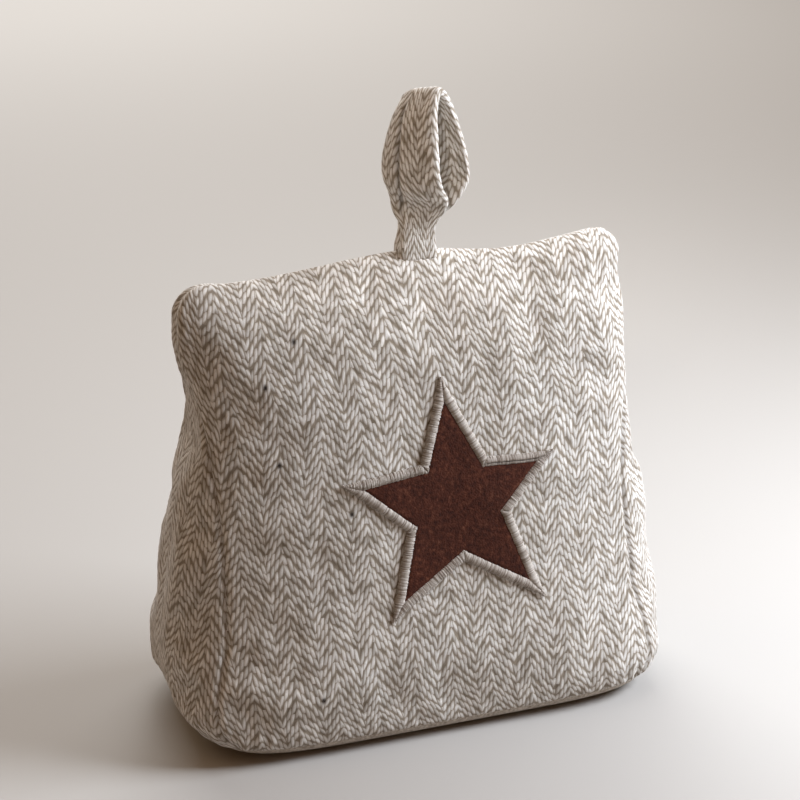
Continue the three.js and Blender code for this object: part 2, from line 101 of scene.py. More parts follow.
# Dark flecks in the wool of the front: across, up
FLECKS = [(-94, 217), (-75, 240), (-51, 141), (-90, 173), (-77.5, 37.5)]
FLECK_SPREAD_ACROSS, FLECK_SPREAD_UP, FLECK_STRENGTH = 1.3, 2.2, 1.6

# Camera, fitted to the photograph
LENS_MM, SENSOR_MM = 85.5, 36.0
CAMERA_YAW, CAMERA_TILT, CAMERA_ROLL = 18.93, 20.3, 0.74
CAMERA_DISTANCE, CAMERA_ACROSS, CAMERA_UP = 1150.0, -3.3, 52.8
CAMERA_AIM_HEIGHT = 130.0


def make_camera():
    yaw, tilt, roll = (math.radians(a) for a in (CAMERA_YAW, CAMERA_TILT, CAMERA_ROLL))
    right = Vector((math.cos(yaw), -math.sin(yaw), 0))
    ahead = Vector((math.cos(tilt) * math.sin(yaw), math.cos(tilt) * math.cos(yaw), -math.sin(tilt)))
    up = right.cross(ahead)
    aim = Vector((0, 0, CAMERA_AIM_HEIGHT))
    place = aim + CAMERA_ACROSS * right + CAMERA_UP * up - CAMERA_DISTANCE * ahead
    turned_right = right * math.cos(roll) - up * math.sin(roll)
    turned_up = right * math.sin(roll) + up * math.cos(roll)
    camera = bpy.data.objects.new("camera", bpy.data.cameras.new("camera"))
    camera.data.lens = LENS_MM
    camera.data.sensor_width = SENSOR_MM
    axes = Matrix((turned_right, turned_up, -ahead)).transposed().to_4x4()
    camera.matrix_world = Matrix.Translation(place * MM) @ axes
    bpy.context.scene.collection.objects.link(camera)
    bpy.context.scene.camera = camera


# Shape of the bag


def through(stations):
    """A smooth curve through (position, value) stations, for arrays of positions."""
    p, v = (np.array(c, float) for c in zip(*stations))
    last = len(p) - 1
    before, after = np.maximum(np.arange(last + 1) - 1, 0), np.minimum(np.arange(last + 1) + 1, last)
    slope = (v[after] - v[before]) / (p[after] - p[before])

    def value(at):
        at = np.clip(at, p[0], p[-1])
        i = np.clip(np.searchsorted(p, at, side="left") - 1, 0, last - 1)
        span = p[i + 1] - p[i]
        t = (at - p[i]) / span
        level = (2 * t**3 - 3 * t**2 + 1) * v[i] + (3 * t**2 - 2 * t**3) * v[i + 1]
        return level + span * ((t**3 - 2 * t**2 + t) * slope[i] + (t**3 - t**2) * slope[i + 1])

    return value


half_width_at = through([
    (0, BASE_WIDTH / 2), (BELLY_HEIGHT, BELLY_WIDTH / 2), (LOW_HEIGHT, LOW_WIDTH / 2),
    (MIDDLE_HEIGHT, MIDDLE_WIDTH / 2), (BAG_HEIGHT - WAIST_DROP, WAIST_WIDTH / 2),
    (BAG_HEIGHT - EAR_DROP, EAR_WIDTH / 2), (BAG_HEIGHT, EAR_WIDTH / 2),
])
half_depth_at = through([
    (0, BASE_DEPTH / 2), (LOW_HEIGHT, LOW_DEPTH / 2), (MIDDLE_HEIGHT, MIDDLE_DEPTH / 2),
    (BAG_HEIGHT - SHOULDER_DROP, SHOULDER_DEPTH / 2), (BAG_HEIGHT, RIDGE_DEPTH / 2),
])
sway_at = through(SWAY)
ridge_rise_at = through(RIDGE_LINE)


def squareness_at(z):
    return SQUARENESS + (BASE_SQUARENESS - SQUARENESS) * np.clip(1 - z / SQUARE_FOOT_HEIGHT, 0, 1)


def ear_inset(z, round_):
    into = np.clip(z - (BAG_HEIGHT - round_), 0, round_)
    return round_ - np.sqrt(round_**2 - into**2)


BASE_ARC = BASE_ROUND * math.pi / 2
RIDGE_ARC = RIDGE_ROUND * math.pi / 2
OUTLINE = BASE_ARC + BAG_HEIGHT - BASE_ROUND - RIDGE_ROUND + RIDGE_ARC


def rings(length):
    """Height, left and right half width and half depth of the bag at lengths up its outline."""
    base_turn = np.minimum(length / BASE_ROUND, math.pi / 2)
    ridge_turn = np.maximum((length - (OUTLINE - RIDGE_ARC)) / RIDGE_ROUND, 0)
    upright = np.clip(length, BASE_ARC, OUTLINE - RIDGE_ARC) - BASE_ARC
    z = BASE_ROUND * (1 - np.cos(base_turn)) + upright + RIDGE_ROUND * np.sin(ridge_turn)
    inset = BASE_ROUND * (1 - np.sin(base_turn))
    left = half_width_at(z) - inset - ear_inset(z, LEFT_EAR_ROUND)
    right = half_width_at(z) - inset - ear_inset(z, RIGHT_EAR_ROUND)
    half_depth = (half_depth_at(z) - inset) * np.maximum(np.cos(ridge_turn), 0)
    return z, left, right, half_depth


def smoothstep(x, low, high):
    t = np.clip((x - low) / (high - low), 0, 1)
    return t * t * (3 - 2 * t)


def slacken(x, y, z, half_depth):
    """Moves the slack places of the front inward."""
    hollow = sum(
        depth * np.exp(-(((x - across) / wide) ** 2) - ((z - up) / high) ** 2)
        for across, up, wide, high, depth in FRONT_HOLLOWS
    )
    fullness = np.minimum(half_depth / SHOULDER_DEPTH * 2, 1)
    return y + hollow * fullness * np.where(y < 0, -y / np.maximum(half_depth, 1), 0)


def ring_points(z, left, right, half_depth, angle):
    c, s = np.cos(angle), np.sin(angle)
    power = squareness_at(z)
    reach = (np.abs(c) ** power + np.abs(s) ** power) ** (-1 / power)
    x = np.where(c < 0, left, right) * c * reach + sway_at(z)
    y = slacken(x, half_depth * s * reach, z, half_depth)
    return np.stack([x, y, z + ridge_rise_at(x) * (z / BAG_HEIGHT) ** 3], -1)


def ring_rows(length, angles):
    """Rows of points round the bag at lengths up its outline."""
    z, left, right, half_depth = rings(length)
    return ring_points(z[:, None], left[:, None], right[:, None], half_depth[:, None], angles)


def seam_angle(z):
    share = SEAM_SHARE * np.sqrt(1 - np.minimum(z / GUSSET_HEIGHT, 1) ** GUSSET_FULLNESS)
    power = squareness_at(z)
    return np.arctan2(share, (1 - share**power) ** (1 / power))


def unit(v):
    return v / np.maximum(np.linalg.norm(v, axis=-1, keepdims=True), 1e-12)


def closed_normals(rows):
    """Normals of rows of points that run round and close, outward where the rows go up."""
    around = np.concatenate([rows[:, -1:], rows, rows[:, :1]], 1)
    return unit(np.cross(np.gradient(around, axis=1), np.gradient(around, axis=0)))[:, 1:-1]


def value_noise(u, v, size, seed):
    """Smooth random values from -1 to 1 that change over about size."""
    table = np.random.default_rng(seed).uniform(-1, 1, (97, 89))
    a, b = u / size + 40.0, v / size + 40.0
    i, j = np.floor(a).astype(int), np.floor(b).astype(int)
    s, t = a - i, b - j
    s, t = s * s * (3 - 2 * s), t * t * (3 - 2 * t)

    def corner(di, dj):
        return table[(i + di) % table.shape[0], (j + dj) % table.shape[1]]

    low = corner(0, 0) * (1 - s) + corner(1, 0) * s
    high = corner(0, 1) * (1 - s) + corner(1, 1) * s
    return low * (1 - t) + high * t


def wander(u, v, layers, seed):
    return sum(amount * value_noise(u, v, size, seed + i) for i, (amount, size) in enumerate(layers))


# Herringbone weave. These take arrays, or the values of a material


def weave_lattice(across, along):
    """The grain at each point: the pair of stripes, the yarn in it, the count along that yarn, the side to
    which the stripe leans, and how far the point is from the grain's middle. Each next yarn's grain starts
    about half a repeat on, down in a falling stripe and up in a rising one."""
    stripes, turn = FALLING_YARNS + RISING_YARNS, FALLING_YARNS - 0.5
    tilt = math.tan(math.radians(COLUMN_TILT)) / YARN
    yarn = (across - STRIPE_START) / YARN
    pair = yarn // stripes
    place = yarn - pair * stripes
    side = (place < FALLING_YARNS) * 2.0 - 1.0
    place = place + side * (along * tilt)
    whole = place // 1
    step = along / REPEAT + (side * (whole - turn) + turn) * DROP
    count = (step + 0.5) // 1
    return pair, whole, count, side, (place - whole - 0.5) * YARN, (step - count) * REPEAT


def grain_shape(x, y, side, own_lean=0.0):
    """Places beside and down a leaning grain, and its fullness: 1 on its crown, below 0 past its edge."""
    lean = math.radians(GRAIN_LEAN)
    sine = side * math.sin(lean) + own_lean
    down = y * math.cos(lean) - x * sine
    beside = x * math.cos(lean) + y * sine
    return beside, down, 1.0 - abs(beside / GRAIN_HALF_WIDTH) ** 2.0 - abs(down / GRAIN_HALF_LENGTH) ** 2.0


def yarn_gap(x):
    """How deep the gap between two yarns is, at x from the middle of one."""
    return BORDER_DARKNESS * math.e ** -(((YARN / 2 - abs(x)) / YARN_BORDER) ** 2.0)


def weave_relief(across, along):
    """Height of the cloth over the crowns of its yarns: 0 on a crown, less beside it."""
    *_, side, x, y = weave_lattice(across, along)
    fullness = grain_shape(x, y, side)[2] - yarn_gap(x)
    return -WEAVE_DEPTH * (1 - np.clip(fullness, 0, 1) ** CROWN_FLATNESS)


def cloth_grid(half_across, start, end, seed):
    """A grid of the cloth: places across and along, the same as the weave has them, and the relief."""
    columns = int(math.ceil(half_across / COLUMN_STEP))
    rows = int(round((end - start) / ROW_STEP))
    u, v = np.meshgrid(COLUMN_STEP * np.arange(-columns, columns + 1), np.linspace(start, end, rows + 1))
    across = u + wander(u, v, WANDER_ACROSS, seed)
    along = v + wander(u, v, WANDER_ALONG, seed + len(WANDER_ACROSS))
    return u, v, across, along, weave_relief(across, along)


# Swelling of the filled cloth, simulated on a coarse shell

SHELL_COLUMNS, SHELL_ROWS, SHELL_FRAMES = 150, 48, 20
PRESSURE, SLACK = 4.0, 0.035
MOST_SWELL, EVEN_OUT, FADE_ROWS = 4.0, 40, 3
LEAST_OUT, MOST_OUT = -3 * MOST_SWELL, 6 * MOST_SWELL


def smoothed(field, times):
    """The field of the shell averaged with its neighbours, round and along, many times over."""
    for _ in range(times):
        field = (np.roll(field, 1, 1) + 2 * field + np.roll(field, -1, 1)) / 4
        padded = np.concatenate([field[:1], field, field[-1:]], 0)
        field = (padded[:-2] + 2 * padded[1:-1] + padded[2:]) / 4
    return field


def seam_vertices(z):
    """Numbers of the shell's vertices that the seams hold: the base, the ridge and the four corners."""
    last_row = (SHELL_ROWS - 1) * SHELL_COLUMNS
    held = set(range(SHELL_COLUMNS)) | set(range(last_row, last_row + SHELL_COLUMNS))
    for row, corner in enumerate(seam_angle(z)):
        for angle in (corner, -corner, math.pi - corner, math.pi + corner):
            column = round(angle / (2 * math.pi) * SHELL_COLUMNS) % SHELL_COLUMNS
            held.add(row * SHELL_COLUMNS + column)
    return sorted(held)


def simulate(shell, held):
    """Fills the shell with pressure and returns its vertices in millimetres."""
    shell.vertex_groups.new(name="seams").add(held, 1.0, "REPLACE")
    cloth = shell.modifiers.new("cloth", "CLOTH")
    cloth.point_cache.frame_end = SHELL_FRAMES
    cloth.collision_settings.use_collision = False
    settings = cloth.settings
    settings.vertex_group_mass = "seams"
    settings.quality = 6
    settings.bending_stiffness = 0.3
    settings.use_pressure = True
    settings.uniform_pressure_force = PRESSURE
    settings.shrink_min = -SLACK
    settings.effector_weights.gravity = 0
    for frame_number in range(1, SHELL_FRAMES + 1):
        bpy.context.scene.frame_set(frame_number)
    filled = shell.evaluated_get(bpy.context.evaluated_depsgraph_get()).to_mesh()
    place = np.empty(3 * len(filled.vertices))
    filled.vertices.foreach_get("co", place)
    return place.reshape(-1, 3) / MM


def settle_cloth():
    """How far the cloth swells, by row and column of the shell, without its overall rounding."""
    length = np.linspace(BASE_SEAM, OUTLINE, SHELL_ROWS)
    rest = ring_rows(length, 2 * math.pi * np.arange(SHELL_COLUMNS) / SHELL_COLUMNS)
    mesh = bpy.data.meshes.new("cloth_shell")
    mesh.from_pydata((rest.reshape(-1, 3) * MM).tolist(), [], grid_faces(closed_grid(*rest.shape[:2])))
    shell = bpy.data.objects.new("cloth_shell", mesh)
    bpy.context.scene.collection.objects.link(shell)
    moved = simulate(shell, seam_vertices(rings(length)[0])).reshape(rest.shape) - rest
    bpy.data.objects.remove(shell)
    bpy.context.scene.frame_set(1)
    out = np.clip(np.nan_to_num(np.sum(moved * closed_normals(rest), 2)), LEAST_OUT, MOST_OUT)
    folds = smoothed(out, 1) - smoothed(out, EVEN_OUT)
    rows = np.arange(SHELL_ROWS)[:, None]
    folds = folds * np.clip(np.minimum(rows, SHELL_ROWS - 1 - rows) / FADE_ROWS, 0, 1)
    return MOST_SWELL * np.tanh(folds / MOST_SWELL)


def swell_at(field, angle, length):
    """The swelling at angles round the bag and lengths up its outline."""
    column = np.mod(angle / (2 * math.pi) * SHELL_COLUMNS, SHELL_COLUMNS)
    row = np.clip((length - BASE_SEAM) / (OUTLINE - BASE_SEAM), 0, 1) * (SHELL_ROWS - 1.001)
    i, j = row.astype(int), column.astype(int) % SHELL_COLUMNS
    s, t = row - i, column - np.floor(column)
    after = (j + 1) % SHELL_COLUMNS
    low = field[i, j] * (1 - t) + field[i, after] * t
    high = field[i + 1, j] * (1 - t) + field[i + 1, after] * t
    return low * (1 - s) + high * s


# Meshes


def mesh_object(name, points, faces, material, attributes=()):
    mesh = bpy.data.meshes.new(name)
    mesh.from_pydata((np.asarray(points) * MM).tolist(), [], faces)
    for key, values in attributes:
        mesh.attributes.new(key, "FLOAT", "POINT").data.foreach_set("value", np.asarray(values, np.float32))
    mesh.validate()
    mesh.shade_smooth()
    mesh.materials.append(material)
    obj = bpy.data.objects.new(name, mesh)
    bpy.context.scene.collection.objects.link(obj)
    return obj


def grid_faces(number):
    """Faces of a grid of vertex numbers, where equal neighbours shrink a face to a triangle or nothing."""
    a, b = number[:-1, :-1].ravel(), number[:-1, 1:].ravel()
    c, d = number[1:, 1:].ravel(), number[1:, :-1].ravel()
    faces = []
    for quad in np.stack([a, b, c, d], 1).tolist():
        corners = [v for i, v in enumerate(quad) if v != quad[i - 1]]
        if len(set(corners)) == len(corners) >= 3:
            faces.append(corners)
    return faces


def closed_grid(rows, columns):
    """Vertex numbers of rows that run round and close."""
    number = np.arange(rows * columns).reshape(rows, columns)
    return np.concatenate([number, number[:, :1]], 1)


def tube_faces(rows, columns):
    """Faces of a tube whose ends are closed."""
    number = closed_grid(rows, columns)
    return grid_faces(number) + [number[0, :-1].tolist()[::-1], number[-1, :-1].tolist()]


def compact(points, number, attributes):
    """The points that a grid uses, the grid with their new numbers, and their attributes."""
    used, fresh = np.unique(number, return_inverse=True)
    kept = [(key, values.ravel()[used]) for key, values in attributes]
    return points.reshape(-1, 3)[used], fresh.reshape(number.shape), kept


# Panels


def seam_dip(distance):
    return SEAM_DEPTH * np.exp(-((distance / SEAM_REACH) ** 2))


def gathers(across, along, edge):
    """Puckers of cloth drawn up by the base seam, strongest at the corners."""
    low = np.exp(-np.maximum(along - BASE_SEAM, 0) / GATHER_HEIGHT)
    corner = np.exp(-((edge / GATHER_CORNER) ** 2))
    shift = GATHER_WANDER * value_noise(across, along, GATHER_WANDER_SIZE, 5)
    ripple = np.sin(across * 2 * math.pi / GATHER_PITCH + shift)
    return low * ripple * (GATHER_DEPTH + CORNER_GATHER_DEPTH * corner) * np.clip(edge / GATHER_FADE, 0, 1)


# Points traced in each row of a panel, and how far past its seams and how far at most they go round
TRACE_POINTS, TRACE_MARGIN, MOST_TURN = 401, 0.5, 1.75


def trace_panel(along, middle_angle):
    """Rows of the smooth bag across a panel and past its seams: how far round from its middle the seams
    are, and for each traced point how far round it is, its length from the middle, place and normal."""
    corner = seam_angle(rings(along)[0])
    is_gusset = abs(math.sin(middle_angle)) < 0.5
    half_turn = corner if is_gusset else math.pi / 2 - corner
    turn = np.minimum(half_turn + TRACE_MARGIN, MOST_TURN)[:, None] * np.linspace(-1, 1, TRACE_POINTS)
    trace = ring_rows(along, middle_angle + turn)
    steps = np.linalg.norm(np.diff(trace, axis=1), axis=2)
    length = np.concatenate([np.zeros((len(along), 1)), np.cumsum(steps, 1)], 1)
    length -= length[:, TRACE_POINTS // 2][:, None]
    normal = unit(np.cross(np.gradient(trace, axis=1), np.gradient(trace, axis=0)))
    at_ridge = smoothstep(along, OUTLINE - RIDGE_TURN_START, OUTLINE - RIDGE_TURN_END)[:, None, None]
    normal = unit(normal * (1 - at_ridge) + np.array([0, 0, 1.0]) * at_ridge)
    return half_turn, turn, length, trace, normal


def lay_panel(across, along, middle_angle):
    """Lays a panel's grid on the smooth bag and cuts it at the seams: its points and normals, each one's
    distance from a seam and angle round the bag, and the vertex numbers, equal past a seam."""
    half_turn, turn, length, trace, normal = trace_panel(along[:, 0], middle_angle)
    points, normals = np.empty(across.shape + (3,)), np.empty(across.shape + (3,))
    edge, angle = np.empty(across.shape), np.empty(across.shape)
    number = np.arange(across.size).reshape(across.shape)
    middle = across.shape[1] // 2
    for k in range(len(half_turn)):
        low, high = np.interp([-half_turn[k], half_turn[k]], turn[k], length[k])
        held = np.clip(across[k], low, high)
        edge[k] = np.minimum(held - low, high - held)
        angle[k] = np.interp(held, length[k], middle_angle + turn[k])
        for axis in range(3):
            points[k, :, axis] = np.interp(held, length[k], trace[k, :, axis])
            normals[k, :, axis] = np.interp(held, length[k], normal[k, :, axis])
        inside = np.flatnonzero((held > low) & (held < high))
        first, last = (inside[0], inside[-1]) if len(inside) else (middle, middle)
        number[k, :first] = number[k, max(first - 1, 0)]
        number[k, last + 1:] = number[k, min(last + 1, number.shape[1] - 1)]
    return points, unit(normals), edge, angle, number


def panel_lift(across, along, edge, side_seam, weave, swell, seed):
    """How far each point of a panel stands off the smooth bag."""
    groove = seam_dip(edge) * (1 - (1 - SIDE_SEAM_SHARE) * side_seam)
    body = sum(
        amount * value_noise(across, along, size, seed + i) * np.clip(edge / full, 0, 1)
        for i, (amount, size, full) in enumerate(UNEVENNESS)
    )
    below_ridge = OUTLINE - along
    body = body * np.clip(below_ridge / RIDGE_CALM, 0, 1) + swell
    at_top = np.clip(below_ridge / RIDGE_FADE, 0, 1)
    relief = weave * at_top - 0.3 * WEAVE_DEPTH * (1 - at_top)
    lift = relief * np.clip(edge / SEAM_FLAT, 0, 1) - groove + body + gathers(across, along, edge)
    above_base = along - BASE_SEAM
    return lift * np.clip(above_base / BASE_SEAM_FADE, 0, 1) - seam_dip(above_base) * BASE_SEAM_SHARE


def panel_shade(points, edge, side_seam, flecks):
    """Painted shade of the cloth in its seam grooves, and darkening at its dark flecks, from 0 to 1."""
    # Painted shade in the seam grooves, weaker in the side seams above the gussets
    in_seam = np.exp(-((edge / SEAM_SHADE_REACH) ** 2))
    shade = SEAM_SHADE * in_seam * (1 - (1 - SIDE_SEAM_SHADE) * side_seam)
    for x, up in flecks:
        across = (points[..., 0] - x) ** 2 / FLECK_SPREAD_ACROSS
        away = across + (points[..., 2] - up) ** 2 / FLECK_SPREAD_UP
        shade = np.maximum(shade, np.clip(FLECK_STRENGTH * np.exp(-away), 0, 1))
    return shade


def make_panel(name, middle_angle, half_reach, top, seed, material, swelling, flecks=()):
    """One sewn panel of the bag, cut by its seams, with every yarn of the weave raised."""
    across, along, woven_across, woven_along, weave = cloth_grid(half_reach, BASE_SEAM, top, seed)
    points, normals, edge, angle, number = lay_panel(across, along, middle_angle)
    height = rings(along[:, 0])[0][:, None]
    side_seam = np.clip((height - GUSSET_HEIGHT) / SIDE_SEAM_FADE + 1, 0, 1)
    swell = swell_at(swelling, angle, along)
    lift = panel_lift(across, along, edge, side_seam, weave, swell, seed + len(WANDER_ACROSS))
    points = points + normals * lift[..., None]
    # Dark flecks, and painted shade in the seams
    shade = panel_shade(points, edge, side_seam, flecks)
    attributes = [("across", woven_across), ("along", woven_along), ("fleck_and_shade", shade)]
    points, number, attributes = compact(points, number, attributes)
    return mesh_object(name, points, grid_faces(number), material, attributes)


BASE_COLUMNS, BASE_RIM_ROWS, BASE_FLOOR_ROWS, BASE_MIDDLE = 360, 14, 40, 0.02


def make_base(material):
    """The base panel: flat underneath, turned up to its seam all round and tucked in behind it."""
    turn = np.concatenate([BASE_SEAM + np.array(TUCKS), np.linspace(BASE_SEAM, 0, BASE_RIM_ROWS)])
    rim = ring_rows(turn, 2 * math.pi * np.arange(BASE_COLUMNS) / BASE_COLUMNS)
    dip = seam_dip(np.maximum(BASE_SEAM - turn, 0)) * BASE_SEAM_SHARE
    dip += TUCK_SLOPE * np.maximum(turn - BASE_SEAM, 0)
    rim = rim + closed_normals(rim) * dip[:, None, None]
    shrink = np.linspace(1, BASE_MIDDLE, BASE_FLOOR_ROWS)[1:]
    floor = rim[-1] * np.stack([shrink, shrink, np.zeros_like(shrink)], -1)[:, None, :]
    points = np.concatenate([rim, floor], 0)
    number = closed_grid(len(points), BASE_COLUMNS)
    faces = [face[::-1] for face in grid_faces(number) + [number[-1, :-1].tolist()]]
    return mesh_object("base_panel", points.reshape(-1, 3), faces, material)


# Star

STAR_X, STAR_HEIGHT = 12.0, 136.0
STAR_CORNERS = np.array([
    (-2.4, 62), (-15.5, 22), (-54.7, 18), (-24.7, -8.7), (-35.6, -51.4),
    (3, -26.9), (42.6, -50.6), (27.3, -5.8), (51.8, 20.5), (18, 21.6),
])
FELT_THICKNESS, FELT_SEAT, FELT_UNDERLAP, FELT_SPLITS = 1.3, 0.3, 0.8, 30
FELT_PRESS, PRESS_SHARE = 0.7, 1 / 9
FELT_WAVES = [(0.18, 14), (0.07, 2.6)]

BORDER_WIDTH = 5.2
STITCH_PITCH, STITCH_RADIUS, STITCH_POINTS = 0.62, 0.44, 8
STITCH_SEAT, STITCH_RISE, PADDING_RISE, SHORTEST_STITCH = 0.15, 0.9, 0.95, 0.15


def front_point(x, z, lift, swelling):
    """Points of the front face, lifted off the smooth cloth and its swelling."""

    def place(px, pz):
        share = np.minimum(np.abs(px - sway_at(pz)) / half_width_at(pz), 1)
        half_depth, power = half_depth_at(pz), squareness_at(pz)
        y = slacken(px, -half_depth * (1 - share**power) ** (1 / power), pz, half_depth)
        return np.stack([px, y, pz + ridge_rise_at(px) * (pz / BAG_HEIGHT) ** 3], -1)

    x, z = np.asarray(x, float), np.asarray(z, float)
    across = place(x + 1, z) - place(x - 1, z)
    up = place(x, z + 1) - place(x, z - 1)
    at = place(x, z)
    angle = np.arctan2(at[..., 1] / half_depth_at(z), (x - sway_at(z)) / half_width_at(z))
    lift = lift + swell_at(swelling, angle, z - BASE_ROUND + BASE_ARC)
    return at + unit(np.cross(across, up)) * np.asarray(lift)[..., None]


FACE_LEAN = math.atan2((BASE_DEPTH - SHOULDER_DEPTH) / 2, BAG_HEIGHT - SHOULDER_DROP)


def on_front(p, lift, swelling):
    """Lays points of the star's plane on the leaning front."""
    return front_point(STAR_X + p[..., 0], STAR_HEIGHT + p[..., 1] * math.cos(FACE_LEAN), lift, swelling)


def star_edges():
    """Direction and outward normal of each edge of the star."""
    ahead = unit(np.roll(STAR_CORNERS, -1, axis=0) - STAR_CORNERS)
    return ahead, np.stack([ahead[:, 1], -ahead[:, 0]], 1)


def star_mitres():
    """How each corner moves as the star's edges move outward by 1."""
    _, out = star_edges()
    before = np.roll(out, 1, axis=0)
    return (before + out) / (1 + np.sum(before * out, 1, keepdims=True))


def make_star(material, swelling):
    """Felt star, pressed down along its stitched edge and slightly proud in the middle."""
    corners = STAR_CORNERS + star_mitres() * FELT_UNDERLAP
    places = [(u, v) for u in range(FELT_SPLITS + 1) for v in range(FELT_SPLITS + 1 - u)]
    flat, faces = [], []
    for a, b in zip(corners, np.roll(corners, -1, axis=0)):
        index = {place: len(flat) + i for i, place in enumerate(places)}
        flat += [(a * u + b * v) / FELT_SPLITS for u, v in places]
        for u, v in places:
            if u + v < FELT_SPLITS:
                faces.append([index[u, v], index[u + 1, v], index[u, v + 1]])
            if u + v < FELT_SPLITS - 1:
                faces.append([index[u + 1, v], index[u + 1, v + 1], index[u, v + 1]])
    flat = np.array(flat)
    share = np.tile(np.sum(places, 1) / FELT_SPLITS, len(corners))
    pressed = 1 - np.clip((1 - share) / PRESS_SHARE, 0, 1)
    lift = FELT_SEAT + FELT_THICKNESS - FELT_PRESS * pressed**2
    lift = lift + wander(flat[:, 0], flat[:, 1], FELT_WAVES, 31)
    obj = mesh_object("felt_star", on_front(flat, lift, swelling), faces, material)
    merge(obj)
    return obj


def merge(obj, distance=2e-5):
    mesh = bmesh.new()
    mesh.from_mesh(obj.data)
    bmesh.ops.remove_doubles(mesh, verts=mesh.verts, dist=distance)
    bmesh.ops.recalc_face_normals(mesh, faces=mesh.faces)
    mesh.to_mesh(obj.data)
    mesh.free()
    obj.data.shade_smooth()


def tube(path, radius, sides=6):
    """Points and faces of a closed tube along a path of points."""
    tangent = unit(np.gradient(path, axis=0))
    guide = np.array([0.0, 0.0, 1.0]) if abs(tangent[0][2]) < 0.9 else np.array([1.0, 0.0, 0.0])
    side = unit(np.cross(tangent, guide))[:, None]
    other = np.cross(side, tangent[:, None])
    turn = (2 * math.pi * np.arange(sides) / sides)[None, :, None]
    ring = path[:, None] + radius * (side * np.cos(turn) + other * np.sin(turn))
    return ring.reshape(-1, 3), tube_faces(len(path), sides)


def stitch_span(place, size, first_mitre, last_mitre):
    """Distances out from the edge between which a stitch runs, as the mitres of both corners cut it."""
    at_first, at_last = place / first_mitre, (place - size) / last_mitre
    low = max(at_first if first_mitre < 0 else 0, at_last if last_mitre > 0 else 0, 0)
    high = min(at_first if first_mitre > 0 else 1, at_last if last_mitre < 0 else 1, 1)
    return low * BORDER_WIDTH, high * BORDER_WIDTH


def make_stitches(material, swelling):
    """Satin stitches: yarns laid side by side over the felt's edge, mitred at each corner."""
    rng = np.random.default_rng(71)
    ahead, out = star_edges()
    mitre = star_mitres() * BORDER_WIDTH
    t = np.linspace(0, 1, STITCH_POINTS)
    arch = np.sin(np.pi * t) ** 0.5
    points, faces, tones = [], [], []
    total = 0
    for i, corner in enumerate(STAR_CORNERS):
        j = (i + 1) % len(STAR_CORNERS)
        size = np.linalg.norm(STAR_CORNERS[j] - corner)
        first_mitre, last_mitre = mitre[i] @ ahead[i], mitre[j] @ ahead[i]
        place = min(first_mitre, 0) + 0.3
        while place < size + max(last_mitre, 0) - 0.2:
            low, high = stitch_span(place, size, first_mitre, last_mitre)
            low += rng.uniform(-0.4, 0.1)
            high += rng.uniform(-0.25, 0.5)
            skew = rng.uniform(-0.22, 0.22)
            full = np.clip((high - low) / BORDER_WIDTH, SHORTEST_STITCH, 1)
            flat = corner + ahead[i] * (place + skew * (t[:, None] - 0.5))
            flat = flat + out[i] * (low + (high - low) * t)[:, None]
            lift = STITCH_SEAT + (STITCH_RISE + PADDING_RISE * full + rng.uniform(-0.12, 0.12)) * arch
            ring, ring_faces = tube(on_front(flat, lift, swelling), STITCH_RADIUS * rng.uniform(0.85, 1.2))
            faces += [[v + total for v in face] for face in ring_faces]
            points.append(ring)
            tones.append(np.full(len(ring), rng.uniform(0, 1)))
            total += len(ring)
            place += STITCH_PITCH * rng.uniform(0.8, 1.2)
    attributes = [("tone", np.concatenate(tones))]
    return mesh_object("satin_border", np.concatenate(points), faces, material, attributes)


# Loop

LOOP_X, LOOP_RISE = 7.0, 92.5
STRAP_THICKNESS = 6.0
LOOP_TURN, TURN_HEIGHT = 52.0, 52.0
LOOP_LEAN, LEAN_HEIGHT = 5.0, 45.0
FOOT_SINK = 5.0
LEG_LINE = [(3, 4.2), (15, 3.7), (27, 5.6), (39.5, 15.5), (52, 16.0), (65, 14.3), (84.5, 8.0)]
STRAP_WIDTHS = [
    (0, 22.5), (14, 20.5), (25, 32.0), (40, 38.0), (51, 40.0), (67, 35.5), (86, 28.0), (96, 25.0),
]
FAR_FULLNESS = [(0, 0.0), (14, 0.0), (25, 4.0), (34, 5.0), (50, 1.0), (96, 0.0)]
CREASE_START, CREASE_DEPTH = 0.42, 5.0
CURL_START, CURL_DEPTH = 0.72, 1.5
TOP_TILT, TOP_FLATNESS = 4.5, 0.6
FLAT_FOOT, FLAT_TOP = (14, 40), (72, 90)
STRAP_YARNS = 36
STRAP_STRIPE = 6.0
FOLD_LINE = [(14, -0.9), (26, -0.62), (45, -0.3), (65, -0.32), (88, -0.48)]
# Fold line of the strap: its depth, its reach, and how dark the painted shade along it is
FOLD_DEPTH, FOLD_REACH, FOLD_PAINTED_SHADE = 2.4, 0.09, 0.5
FOLD_FOOT, FOLD_TOP = (14, 30), (82, 90)
STRAP_WANDER = [(0.5, 12)]
SEAT_OF_WEAVE = 0.2


